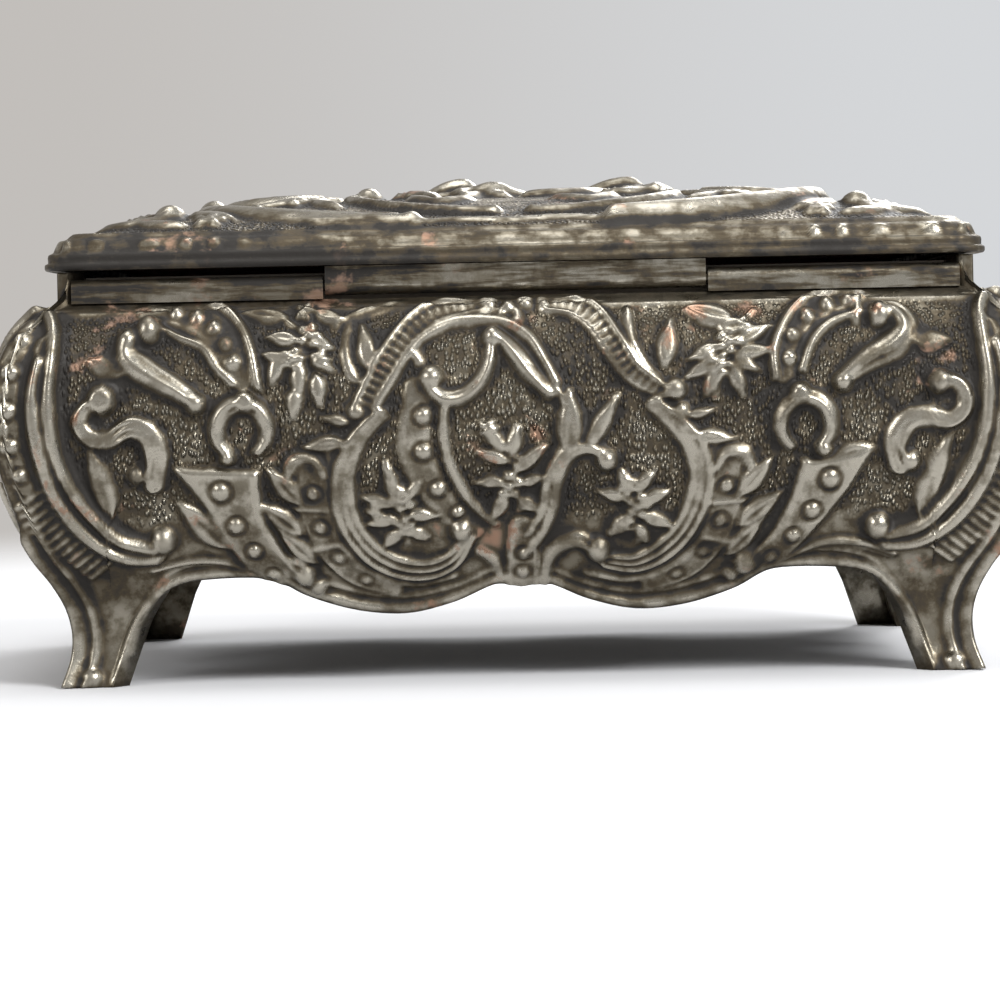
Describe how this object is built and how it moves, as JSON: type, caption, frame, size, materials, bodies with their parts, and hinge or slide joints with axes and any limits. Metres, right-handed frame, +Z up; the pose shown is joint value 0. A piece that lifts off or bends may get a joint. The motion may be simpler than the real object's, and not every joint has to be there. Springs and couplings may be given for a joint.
{
  "type": "rosary box",
  "caption": "Footed metal casket with swelling relief walls, cabriole legs, scalloped apron, domed hinged lid and a velvet lining, for a rosary or keepsakes.",
  "frame": {"origin": "on the floor plane under the middle of the box", "axes": "+X along the hinge, towards the right seen from the front; +Y towards the hinge side; +Z up"},
  "size_m": [0.1174, 0.0788, 0.0574],
  "materials": {
    "tarnished_silver": "cast metal, silver plated, tarnished, worn bright on the high spots",
    "hinge_metal": "silver plated sheet, worn and tarnished",
    "pin_metal": "drawn wire, dull",
    "plate_metal": "rolled sheet, dull",
    "lining_board": "grey board",
    "velvet": "short pile velvet"
  },
  "bodies": {
    "casket": {"front_wall": "tarnished_silver", "back_wall": "tarnished_silver", "left_wall": "tarnished_silver", "right_wall": "tarnished_silver", "bottom_plate": "plate_metal", "hinge_leaf_left": "hinge_metal", "hinge_leaf_right": "hinge_metal", "hinge_pin": "pin_metal", "floor_card": "lining_board", "front_lining_card": "lining_board", "back_lining_card": "lining_board", "left_lining_card": "lining_board", "right_lining_card": "lining_board", "floor_pad": "velvet", "front_lining_velvet": "velvet", "back_lining_velvet": "velvet", "left_lining_velvet": "velvet", "right_lining_velvet": "velvet"},
    "lid": {"lid_shell": "tarnished_silver", "hinge_leaf_lid": "hinge_metal", "lid_card": "lining_board", "lid_pad": "velvet"}
  },
  "joints": [
    {"name": "lid_hinge", "type": "hinge", "parent": "casket", "child": "lid", "pos_m": [0, 0.031, 0.04412], "axis": [-1, 0, 0], "range_deg": [0, 95]}
  ]
}
